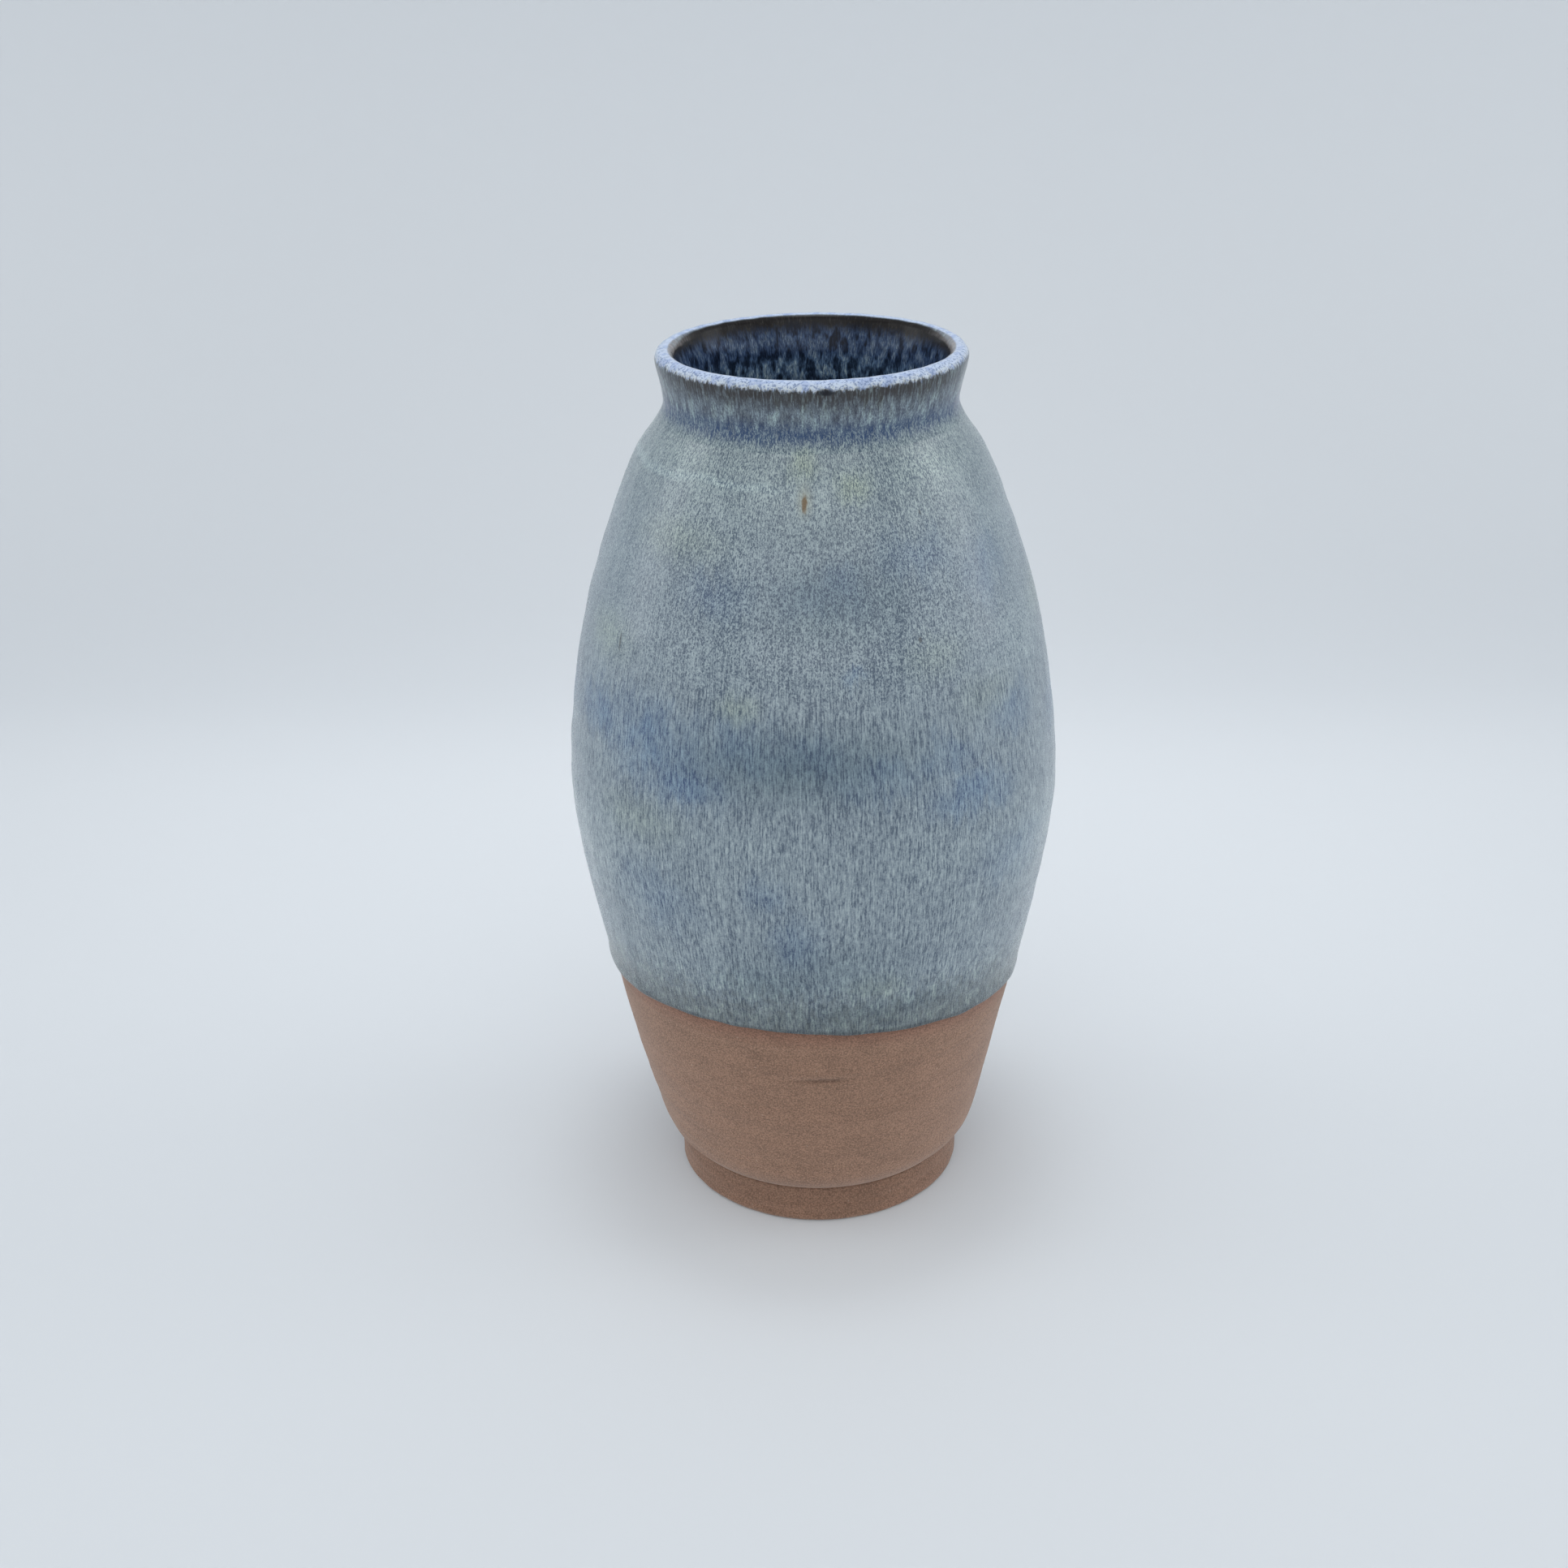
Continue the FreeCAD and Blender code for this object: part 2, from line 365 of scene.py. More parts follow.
def liner_glaze():
    """The coat inside, from the throat to the middle of the floor, and its side on the clay."""
    s = np.linspace(THROAT_AT, outline.length, 130)[:, None]
    points, normals = skin(PHI, s)
    back = surface(PHI, np.linspace(outline.length, THROAT_AT, 40)[:, None], 0.0)
    grid = np.concatenate([back, points])
    return make_piece("liner_glaze_coat", grid, False, [(len(back), normals[0])])


def clay_body():
    """The thrown clay: close rows where it is bare or bends sharply, wider rows under the glaze."""
    ring_contact = [(0.0, clay_path[0][1])] + [tuple(p) for p in clay_path[: under_ring + 1]]
    below = []
    for (r0, z0), (r1, z1) in zip(ring_contact, ring_contact[1:]):
        for t in np.linspace(0, 1, 4)[:-1]:
            below.append((r0 + (r1 - r0) * t, z0 + (z1 - z0) * t))
    below = np.array(below)[:, None, :]
    r, z = np.broadcast_to(below, (len(below), COLUMNS, 2)).transpose(2, 0, 1)
    under = np.stack([r * np.cos(PHI), r * np.sin(PHI), z], axis=-1)
    bare = outline.distance_to_height(EDGE_HEIGHT + 9, 0)
    shoulder, throat_end = NECK_AT - 18, THROAT_AT + 12
    s = np.concatenate([
        np.linspace(0, bare, 150),
        np.linspace(bare, shoulder, 36)[1:],
        np.linspace(shoulder, throat_end, 70)[1:],
        np.linspace(throat_end, outline.length, 56)[1:],
    ])[:, None]
    return make_piece("thrown_clay_body", np.concatenate([under, surface(PHI, s, 0.0)]), False)


def foot_ring():
    """The trimmed foot ring, with worn edges and tool lines."""
    path = seam_outline("foot_ring")
    following = np.roll(path, -1, axis=0)
    rows = []
    for a, b in zip(path, following):
        count = max(2, int(np.linalg.norm(b - a) / 0.45))
        rows += [a + (b - a) * t for t in np.linspace(0, 1, count + 1)[:-1]]
    rows = np.array(rows)
    area = np.sum(rows[:, 0] * np.roll(rows[:, 1], -1) - np.roll(rows[:, 0], -1) * rows[:, 1])
    rows = rows if area > 0 else rows[::-1]
    r, z = rows[:, 0][:, None], rows[:, 1][:, None]
    outside = fade(r, FOOT_RADIUS - 1.2, FOOT_RADIUS - 0.6)
    middle = fade(z, 0.0, 1.5) * fade(z, FOOT_TOP, FOOT_TOP - 1.2)
    marks = 0.045 * waves(PHI, z, 31, (0, 3), (1.6, 5)) + 0.06 * waves(PHI, z, 32, (2, 6), (9, 30))
    worn = 0.10 * waves(PHI, z, 33, (5, 26), (30, 60)) * fade(z, 2.0, 0.4)
    r = r + outside * (marks * middle - np.maximum(worn, 0) * fade(z, 0.0, 0.5))
    grid = np.stack([r * np.cos(PHI), r * np.sin(PHI), np.broadcast_to(z, r.shape)], axis=-1)
    return make_piece("trimmed_foot_ring", grid, True)


# --- Materials --------------------------------------------------------------------------

AROUND = 56.0  # radius that the patterns around the wall are drawn at


class Paint:
    """Builds the nodes of one material.

    place is in millimetres. wall is place moved onto a cylinder, so that a pattern drawn there
    keeps its width from the foot to the lip. Methods that make a value return a node's output.
    """

    def __init__(self, name):
        self.material = bpy.data.materials.new(name)
        self.material.use_nodes = True
        self.nodes = self.material.node_tree.nodes
        self.links = self.material.node_tree.links
        self.shader = self.nodes["Principled BSDF"]
        place = self.nodes.new("ShaderNodeTexCoord").outputs["Object"]
        self.place = self.vector("SCALE", place, scale=1 / MM)
        self.x, self.y, self.z = self.split(self.place)
        flat = self.vector("MULTIPLY", self.place, (1, 1, 0))
        self.radius = self.length(flat)
        ring = self.vector("SCALE", self.vector("NORMALIZE", flat), scale=AROUND)
        self.wall = self.vector("ADD", ring, self.vector("MULTIPLY", self.place, (0, 0, 1)))

    def put(self, node, socket, value):
        if isinstance(value, bpy.types.NodeSocket):
            self.links.new(value, node.inputs[socket])
        else:
            node.inputs[socket].default_value = value

    def math(self, operation, *values):
        node = self.nodes.new("ShaderNodeMath")
        node.operation = operation
        for socket, value in enumerate(values):
            self.put(node, socket, value)
        return node.outputs[0]

    def times(self, a, b):
        return self.math("MULTIPLY", a, b)

    def vector(self, operation, a, b=(0, 0, 0), scale=None):
        node = self.nodes.new("ShaderNodeVectorMath")
        node.operation = operation
        self.put(node, 0, a)
        if scale is None:
            self.put(node, 1, b)
        else:
            self.put(node, "Scale", scale)
        return node.outputs[0]

    def length(self, a):
        node = self.nodes.new("ShaderNodeVectorMath")
        node.operation = "LENGTH"
        self.put(node, 0, a)
        return node.outputs["Value"]

    def split(self, a):
        node = self.nodes.new("ShaderNodeSeparateXYZ")
        self.put(node, 0, a)
        return node.outputs

    def span(self, value, start, end, low=0.0, high=1.0):
        """low before start, high after end, smooth between; start may be the larger."""
        node = self.nodes.new("ShaderNodeMapRange")
        node.interpolation_type = "SMOOTHSTEP"
        if start > end:
            start, end, low, high = end, start, high, low
        for socket, number in enumerate((start, end, low, high), 1):
            node.inputs[socket].default_value = number
        self.put(node, 0, value)
        return node.outputs[0]

    def noise(self, where, size, stretch=(1, 1, 1), detail=2.0, rough=0.5, shift=0.0, curl=0.0):
        """Noise of about 0 to 1 with features of a size in millimetres; curl makes them wriggle."""
        factors = tuple(1 / (size * s) for s in stretch)
        node = self.nodes.new("ShaderNodeTexNoise")
        moved = self.vector("ADD", self.vector("MULTIPLY", where, factors), (shift, shift, shift))
        self.put(node, "Vector", moved)
        self.put(node, "Scale", 1.0)
        self.put(node, "Detail", detail)
        self.put(node, "Roughness", rough)
        self.put(node, "Distortion", curl)
        return node.outputs[0]

    def lined(self, size, stretch, detail, rough, shift, curl=0.0):
        """Noise for the inside: runs down the wall, even blotches over the floor."""
        wall = self.noise(self.wall, size, stretch, detail, rough, shift, curl)
        floor = self.noise(self.place, 1.6 * size, (1, 1, 1), detail, rough, shift, curl)
        return self.blend(self.span(self.z, 40, 22), floor, wall)

    def specks(self, where, spacing, size):
        """Scattered dots: 1 in the middle of a dot."""
        node = self.nodes.new("ShaderNodeTexVoronoi")
        self.put(node, "Vector", self.vector("SCALE", where, scale=1 / spacing))
        self.put(node, "Scale", 1.0)
        return self.span(node.outputs["Distance"], size / spacing, size / spacing * 0.3)

    def mix(self, share, a, b, blend="MIX"):
        """The colour a where the share is 0 and b where it is 1."""
        node = self.nodes.new("ShaderNodeMix")
        node.data_type = "RGBA"
        node.blend_type = blend
        self.put(node, 0, share)
        self.put(node, 6, (*a, 1) if isinstance(a, tuple) else a)
        self.put(node, 7, (*b, 1) if isinstance(b, tuple) else b)
        return node.outputs[2]

    def most(self, values):
        largest = values[0]
        for value in values[1:]:
            largest = self.math("MAXIMUM", largest, value)
        return largest

    def tint(self, share, colour, factors):
        """The colour, multiplied by the factors where the share is 1."""
        return self.mix(share, colour, factors, "MULTIPLY")

    def blend(self, share, a, b):
        """A number between b, at share 0, and a, at share 1."""
        return self.math("MULTIPLY_ADD", self.math("SUBTRACT", a, b), share, b)

    def shifted(self, value, noise, amount):
        """The value, moved by up to about half the amount either way."""
        return self.math("MULTIPLY_ADD", self.math("SUBTRACT", noise, 0.5), amount, value)

    def blob(self, where, angle, height, wide, tall, soft=1.0):
        """A soft-edged patch on the wall at an angle and height; wide and tall are half sizes."""
        turn = math.radians(angle)
        middle = (AROUND * math.cos(turn), AROUND * math.sin(turn), height)
        away = self.vector("SUBTRACT", where, middle)
        away = self.vector("MULTIPLY", away, (1 / wide, 1 / wide, 1 / tall))
        return self.span(self.length(away), 1.0, 1.0 - soft)

    def patches(self, where, rows):
        """Soft patches from (angle, height, half width, half height, strength) rows."""
        return self.most([self.times(self.blob(where, *row[:4]), row[4]) for row in rows])

    def warped(self, where, amount, size, stretch=(1, 1, 1), shift=0.0):
        """The place, pushed about by noise, so that edges drawn from it wander."""
        node = self.nodes.new("ShaderNodeCombineXYZ")
        for axis in range(3):
            push = self.noise(where, size, stretch, 2.0, 0.6, shift + 7.3 * axis)
            self.put(node, axis, self.math("MULTIPLY_ADD", push, 2 * amount[axis], -amount[axis]))
        return self.vector("ADD", where, node.outputs[0])

    def finish(self, colour, roughness, heights):
        """Connects the colour, the roughness and (height, distance) bumps, coarse first."""
        self.put(self.shader, "Base Color", colour)
        self.put(self.shader, "Roughness", roughness)
        normal = None
        for height, distance in heights:
            bump = self.nodes.new("ShaderNodeBump")
            self.put(bump, "Height", height)
            bump.inputs["Distance"].default_value = distance * MM
            if normal is not None:
                self.put(bump, "Normal", normal)
            normal = bump.outputs[0]
        self.put(self.shader, "Normal", normal)
        return self.material


PALE_GLAZE = (0.363, 0.432, 0.461)
GREY_GLAZE = (0.221, 0.274, 0.318)
SLATE_GLAZE = (0.084, 0.120, 0.167)
DEEP_BLUE = (0.056, 0.093, 0.185)
COBALT = (0.031, 0.067, 0.159)
DARK_BROWN = (0.046, 0.042, 0.041)
SMOKE = (0.078, 0.093, 0.130)
PALE_SMOKE = (0.285, 0.362, 0.408)
PERIWINKLE = (0.554, 0.639, 0.797)
LIP_WHITE = (0.603, 0.639, 0.633)
LIP_SPOT = (0.153, 0.216, 0.378)
LIP_BLUE = (0.324, 0.423, 0.684)
TAN = (0.360, 0.324, 0.315)
NAVY = (0.012, 0.022, 0.048)
INSIDE_BLUE = (0.042, 0.074, 0.151)
INSIDE_GREY = (0.170, 0.220, 0.280)
INSIDE_BROWN = (0.012, 0.010, 0.010)
PALE_BROWN = (0.05, 0.046, 0.042)
SPOT_BLACK = (0.012, 0.014, 0.02)
CLAY = (0.279, 0.166, 0.113)

HALO_GREEN = (0.36, 0.38, 0.31)
PIT_BROWN = (0.15, 0.095, 0.04)
SCRATCH_GREY = (0.05, 0.06, 0.07)
# Painted shade in the crease of the clay.
CREASE_PAINTED_SHADE = (0.66, 0.64, 0.64)
DARK_GROG = (0.13, 0.08, 0.06)
PALE_GROG = (0.50, 0.38, 0.30)

# Heights between which one look of the glaze passes into another.
FLECKS_SHORTEN = (150, 172)
LONG_RUNS_FADE = (150, 195)
SHOULDER_PALER = (186, 210)
PALE_LINE_FROM, PALE_LINE_TO = (204.6, 206), (207.6, 206.2)
COBALT_FROM, COBALT_TO = (213.2, 216.6), (221.6, 217.2)
SMOKE_FROM = (214.0, 218.5)
DARK_BAND_FROM = (221.3, 226.8)
# Painted light: the inside paler deeper down the throat, where less light reaches.
INSIDE_PAINTED_LIGHT = (221, 216.5)
INSIDE_BROWN_FROM = (224.3, 227.6)

# Radii between which the colours of the lip begin and end.
DARK_BAND_RADII = (34.6, 35.4)
LIP_RADII = (34.3, 34.9)
LIP_WHITE_RADII = (36.4, 38.0)
TAN_FROM, TAN_TO = (33.2, 33.5), (34.9, 34.4)
THROAT_RADII = (33.7, 33.2)

DIM_REFLECTION = 0.14  # specular level of the rim and the inside
MIDDLE_SHADE = 0.49  # the shade of the wall's flecks that its contrast leaves alone

# Places on the wall, as (angle, height, half width, half height).
PIT = (-92.6, 203.4, 1.1, 2.4)
PIT_HALO = (-92.6, 204, 3.6, 5.2)
DARK_SPOT = (-85.2, 227.5, 4.0, 1.1)
CREASE = (-89, 53.6, 11, 1.2)
SCRATCHES = (
    (-144.3, 166.6, 0.5, 3.4),
    (-63.5, 172.3, 0.7, 0.9),
    (-57.1, 199.4, 0.5, 0.9),
)

# Patches of the outer coat, as (angle, height, half width, half height, strength).
BLUE_PATCHES = (
    (-130, 146, 24, 16, 1.0),
    (-150, 148, 18, 12, 0.9),
    (-106, 149, 18, 11, 0.55),
    (-121, 138, 18, 10, 0.9),
    (-92, 148, 18, 9, 0.45),
    (-76, 142, 18, 9, 0.5),
    (-88, 184, 18, 9, 0.3),
    (-81, 166, 5, 4, 0.6),
    (-60, 143, 14, 8, 0.6),
    (-52, 133, 19, 9, 0.9),
    (-37, 149, 14, 10, 0.6),
    (-101, 112, 9, 9, 0.45),
    (-95, 98, 9, 12, 0.5),
    (-130, 106, 19, 14, 0.45),
    (-60, 190, 20, 9, 0.35),
    (-38, 184, 15, 12, 0.45),
    (-116, 183, 16, 7, 0.35),
    (-83, 187, 10, 7, 0.4),
    (-38, 112, 20, 14, 0.4),
    (2, 141, 30, 14, 0.9),
    (24, 130, 26, 11, 0.6),
    (36, 176, 28, 11, 0.5),
    (56, 149, 30, 12, 0.8),
    (84, 108, 20, 16, 0.6),
    (98, 152, 34, 11, 0.9),
    (126, 139, 26, 11, 0.8),
    (138, 186, 24, 10, 0.4),
    (160, 112, 20, 15, 0.6),
    (176, 146, 28, 12, 0.8),
)
GREEN_PATCHES = (
    (-130, 193, 24, 8, 0.5),
    (-133, 126, 18, 9, 0.5),
    (-150, 167, 17, 9, 0.5),
    (-108, 158, 8, 6, 0.7),
    (-93, 211, 8, 5, 0.9),
    (-77, 206, 9, 5, 0.9),
    (-46, 156, 15, 8, 0.4),
    (-75, 84, 12, 6, 0.5),
    (-60, 168, 14, 8, 0.4),
    (-8, 170, 16, 9, 0.5),
    (20, 205, 14, 5, 0.7),
    (62, 120, 18, 9, 0.5),
    (95, 192, 22, 7, 0.6),
    (150, 160, 16, 8, 0.5),
    (162, 206, 13, 5, 0.8),
)
# Paler glaze, and painted reflection of the bright floor: the rows near -155 and -25 degrees lie on the
# wall's left and right edges as the camera sees them.
PALE_PATCHES_AND_PAINTED_EDGE_REFLECTION = (
    (-158, 186, 22, 14, 0.4),
    (-22, 190, 22, 14, 0.4),
    (-158, 112, 30, 20, 1.0),
    (-22, 112, 32, 20, 1.0),
    (-28, 164, 22, 16, 0.8),
    (-152, 168, 18, 14, 0.4),
    (-105, 125, 18, 9, 0.3),
    (-62, 118, 26, 8, 0.4),
    (-86, 178, 20, 7, 0.3),
    (-48, 208, 17, 7, 0.9),
    (-141, 210, 22, 5, 0.6),
    (74, 208, 20, 6, 0.8),
    (168, 209, 18, 5, 0.7),
)
DARK_PATCHES = (
    (-101, 86, 22, 11, 0.7),
    (-94, 145, 44, 15, 1.0),
    (-86, 183, 30, 15, 0.8),
    (-92, 196, 26, 8, 0.3),
    (-90, 90, 34, 15, 0.6),
    (-78, 76, 40, 8, 0.6),
    (15, 88, 26, 12, 0.6),
    (120, 92, 26, 12, 0.6),
)


def above_edge(p):
    """Height above the tilted plane where the outer coat ends."""
    height = p.math("SUBTRACT", p.z, EDGE_HEIGHT)
    height = p.math("MULTIPLY_ADD", p.x, -EDGE_SLOPE_X, height)
    return p.math("MULTIPLY_ADD", p.y, -EDGE_SLOPE_Y, height)


def glaze_flecks(p):
    """Short curled flecks on the shoulder, longer runs lower down, and faint long streaks."""
    curls = p.noise(p.wall, 0.36, (1, 1, 1.6), 1.0, 0.5, 0.0, 0.9)
    runs = p.noise(p.wall, 0.33, (1, 1, 6.5), 1.0, 0.5, 3.1, 0.3)
    streaks = p.noise(p.wall, 0.33, (1, 1, 26.0), 1.0, 0.5, 41.0)
    flecks = p.blend(p.span(p.z, *FLECKS_SHORTEN, 0.36, 0.78), curls, runs)
    return p.shifted(flecks, streaks, p.span(p.z, *LONG_RUNS_FADE, 0.34, 0.08))


def fleck_shade(p, flecks, mottle, cloud):
    """How dark the flecks are: most contrast on the front of the shoulder."""
    shade = p.shifted(p.shifted(flecks, mottle, 0.11), cloud, 0.05)
    sharp = p.times(p.span(p.z, *FLECKS_SHORTEN), p.span(p.math("ABSOLUTE", p.x), 44, 26))
    contrast = p.math("MULTIPLY_ADD", sharp, 0.36, 0.65)
    return p.math("MULTIPLY_ADD", p.math("SUBTRACT", shade, MIDDLE_SHADE), contrast, MIDDLE_SHADE)


def edge_glaze(p, colour, mottle, cloud):
    """Over the wall's colour: darker towards the lower edge, with blotches in the thick glaze, and
    painted shadow along the underside of the rolled edge.
    """
    above = above_edge(p)
    colour = p.tint(p.span(p.shifted(above, mottle, 9), 17, 1), colour, (0.62, 0.61, 0.58))
    low = p.span(p.shifted(above, cloud, 12), 22, 10)
    spots = p.noise(p.wall, 1.7, (1, 1, 1.5), 2.0, 0.5, 71.0)
    colour = p.tint(p.times(low, p.span(spots, 0.52, 0.64)), colour, (1.30, 1.30, 1.20))
    colour = p.tint(p.times(low, p.span(spots, 0.50, 0.38)), colour, (0.84, 0.84, 0.82))
    # Painted shadow: a thin dark line on the underside of the rolled edge, where the coat ends.
    return p.tint(p.span(above, 1.6, 0.4), colour, (0.50, 0.52, 0.54))


def glaze_marks(p, colour):
    """Over the wall's colour: the brown pit with its pale halo, and a few dark scratches."""
    pit = p.blob(p.warped(p.wall, (0.5, 0.5, 0.8), 0.8), *PIT, 0.6)
    colour = p.mix(p.times(p.blob(p.wall, *PIT_HALO), 0.6), colour, HALO_GREEN)
    colour = p.mix(pit, colour, PIT_BROWN)
    marks = p.most([p.blob(p.wall, *scratch, 0.7) for scratch in SCRATCHES])
    return p.mix(p.times(marks, 0.8), colour, SCRATCH_GREY)


def body_glaze(p):
    """Flecked blue-grey glaze of the wall, with painted reflection on its left and right edges: its
    colour, and the flecks that its bump follows.
    """
    flecks = glaze_flecks(p)
    mottle = p.noise(p.wall, 6.0, (1, 1, 1.6), 2.0, 0.5, 9.0)
    cloud = p.noise(p.wall, 24.0, (1, 1, 0.8), 2.0, 0.5, 17.0)
    shade = fleck_shade(p, flecks, mottle, cloud)
    drawn = p.warped(p.wall, (3, 3, 7), 7.0, (1, 1, 2), 31.0)
    drawn = p.warped(drawn, (1, 1, 5), 1.4, (1, 1, 4), 57.0)
    blue = p.times(p.patches(drawn, BLUE_PATCHES), p.span(mottle, 0.30, 0.60, 0.6, 1.0))
    colour = p.mix(p.span(shade, 0.36, 0.51), PALE_GLAZE, GREY_GLAZE)
    colour = p.mix(p.span(shade, 0.49, 0.60), colour, p.mix(blue, SLATE_GLAZE, DEEP_BLUE))
    colour = p.tint(blue, colour, (0.62, 0.77, 0.96))
    soft = p.warped(p.wall, (2, 2, 3), 2.0, (1, 1, 3), 47.0)
    colour = p.tint(p.patches(soft, GREEN_PATCHES), colour, (1.08, 1.07, 0.88))
    # Paler glaze, and painted reflection on the wall's left and right edges as the camera sees them.
    colour = p.tint(p.patches(soft, PALE_PATCHES_AND_PAINTED_EDGE_REFLECTION), colour, (1.28, 1.26, 1.20))
    colour = p.tint(p.patches(soft, DARK_PATCHES), colour, (0.58, 0.66, 0.69))
    colour = p.tint(p.span(p.z, *SHOULDER_PALER), colour, (1.10, 1.09, 1.02))
    height = p.shifted(p.z, cloud, 5.0)
    line = p.times(p.span(height, *PALE_LINE_FROM), p.span(height, *PALE_LINE_TO))
    colour = p.tint(p.times(line, p.span(p.x, -2, -14)), colour, (1.25, 1.25, 1.22))
    return glaze_marks(p, edge_glaze(p, colour, mottle, cloud)), flecks


def neck_glaze(p, colour, flecks):
    """Over the wall's colour: the deep blue line, the smoky neck and the dark band."""
    drip = p.noise(p.wall, 0.9, (1, 1, 3), 2.0, 0.55, 60.0, 0.4)
    broad = p.noise(p.wall, 2.6, (1, 1, 2), 2.0, 0.5, 64.0)
    height = p.shifted(p.shifted(p.z, drip, 1.8), broad, 2.6)
    smoky = p.mix(p.span(p.blend(0.4, drip, flecks), 0.28, 0.66), PALE_SMOKE, SMOKE)
    smoky = p.tint(p.span(broad, 0.50, 0.64), smoky, (1.4, 1.42, 1.3))
    smoky = p.tint(p.span(broad, 0.48, 0.36), smoky, (0.72, 0.70, 0.70))
    colour = p.mix(p.span(height, *SMOKE_FROM), colour, smoky)
    line = p.times(p.span(height, *COBALT_FROM), p.span(height, *COBALT_TO))
    line = p.times(line, p.span(p.blend(0.6, flecks, drip), 0.42, 0.55, 0.25, 1.0))
    colour = p.mix(p.times(line, 0.8), colour, COBALT)
    height = p.shifted(p.shifted(p.z, drip, 2.0), broad, 5.0)
    dark = p.times(p.span(height, *DARK_BAND_FROM), p.span(p.radius, *DARK_BAND_RADII))
    dark = p.times(dark, p.span(drip, 0.32, 0.56, 0.55, 0.92))
    dark = p.times(dark, p.span(p.math("ABSOLUTE", p.x), 27, 37, 1.0, 0.5))
    return p.mix(dark, colour, DARK_BROWN)


def throat_glaze(p):
    """The inside: brown-black under the lip, then navy with paler blue runs, made paler deeper down as
    painted light.
    """
    drip = p.lined(0.8, (1, 1, 2.2), 4.0, 0.7, 80.0, 0.5)
    broad = p.lined(3.4, (1, 1, 1.3), 2.0, 0.5, 84.0)
    colour = p.mix(p.span(p.blend(0.55, drip, broad), 0.38, 0.54), NAVY, INSIDE_BLUE)
    grain = p.lined(0.4, (1, 1, 3.0), 2.0, 0.6, 90.0)
    pale = p.times(p.span(broad, 0.50, 0.62), p.span(drip, 0.42, 0.58))
    colour = p.mix(p.times(pale, 0.6), colour, INSIDE_GREY)
    # Painted light: paler colour deeper down the throat, where less light reaches.
    colour = p.tint(p.span(p.z, *INSIDE_PAINTED_LIGHT), colour, (2.3, 2.2, 1.8))
    colour = p.tint(p.span(broad, 0.50, 0.40), colour, (0.36, 0.38, 0.42))
    colour = p.tint(p.span(grain, 0.51, 0.62), colour, (1.65, 1.60, 1.50))
    colour = p.tint(p.span(grain, 0.49, 0.38), colour, (0.52, 0.55, 0.60))
    height = p.shifted(p.shifted(p.z, broad, 5.0), drip, 4.0)
    brown = p.mix(p.span(drip, 0.50, 0.74), INSIDE_BROWN, PALE_BROWN)
    return p.mix(p.span(height, *INSIDE_BROWN_FROM), colour, brown)


def glossy(p, colour, roughness, flecks):
    """The finish all three coats share: satin gloss over faintly raised flecks."""
    grain = p.noise(p.place, 0.35, detail=2.0, shift=5.0)
    varied = p.shifted(roughness, grain, 0.10)
    p.shader.inputs["IOR"].default_value = 1.55
    p.shader.inputs["Diffuse Roughness"].default_value = 0.6
    return p.finish(colour, varied, [(flecks, 0.014)])


def streaked_glaze():
    """The outer coat's finish."""
    p = Paint("streaked_glaze")
    colour, flecks = body_glaze(p)
    return glossy(p, neck_glaze(p, colour, flecks), 0.27, flecks)


def lip_glaze(p, colour):
    """Over the neck's colour: the pale blue lip with darker spots and a thin tan line inside."""
    spots = p.noise(p.place, 0.62, detail=3.0, rough=0.65, shift=21.0)
    edge = p.noise(p.wall, 1.2, (1, 1, 2), 3.0, 0.6, 25.0)
    blotch = p.noise(p.place, 2.6, detail=2.0, shift=33.0)
    outer = p.span(p.shifted(p.radius, blotch, 3.0), *LIP_WHITE_RADII)
    pale = p.mix(p.times(outer, 0.8), PERIWINKLE, LIP_WHITE)
    pale = p.mix(p.times(p.span(blotch, 0.50, 0.62), 0.6), pale, LIP_BLUE)
    spotted = p.times(p.span(spots, 0.50, 0.58), p.span(p.radius, 35.0, 37.0, 0.35, 1.0))
    pale = p.mix(p.times(spotted, 0.75), pale, LIP_SPOT)
    height = p.shifted(p.shifted(p.z, edge, 3.4), spots, 2.0)
    lip = p.times(p.span(height, LIP_TOP - 2.5, LIP_TOP - 1.6), p.span(p.radius, *LIP_RADII))
    colour = p.mix(lip, colour, pale)
    colour = p.mix(p.times(p.blob(p.wall, *DARK_SPOT, 0.6), 0.9), colour, SPOT_BLACK)
    ring = p.times(p.span(p.radius, *TAN_TO), p.span(p.radius, *TAN_FROM))
    ring = p.times(ring, p.span(p.y, 20, 0))
    return p.mix(p.times(ring, p.span(edge, 0.30, 0.62, 1.0, 0.4)), colour, TAN)


def rim_glaze_finish():
    """The rim coat's finish: neck and lip outside, the throat's colours inside."""
    p = Paint("rim_glaze")
    colour, flecks = body_glaze(p)
    colour = neck_glaze(p, colour, flecks)
    inside = p.span(p.math("SUBTRACT", p.radius, p.span(p.y, 0, 24)), *THROAT_RADII)
    colour = lip_glaze(p, p.mix(inside, colour, throat_glaze(p)))
    p.shader.inputs["Specular IOR Level"].default_value = DIM_REFLECTION
    return glossy(p, colour, 0.20, flecks)


def liner_finish():
    """The inside coat's finish."""
    p = Paint("liner_glaze")
    flecks = p.lined(0.7, (1, 1, 3.5), 3.0, 0.62, 0.0)
    p.shader.inputs["Specular IOR Level"].default_value = DIM_REFLECTION
    return glossy(p, throat_glaze(p), 0.18, flecks)


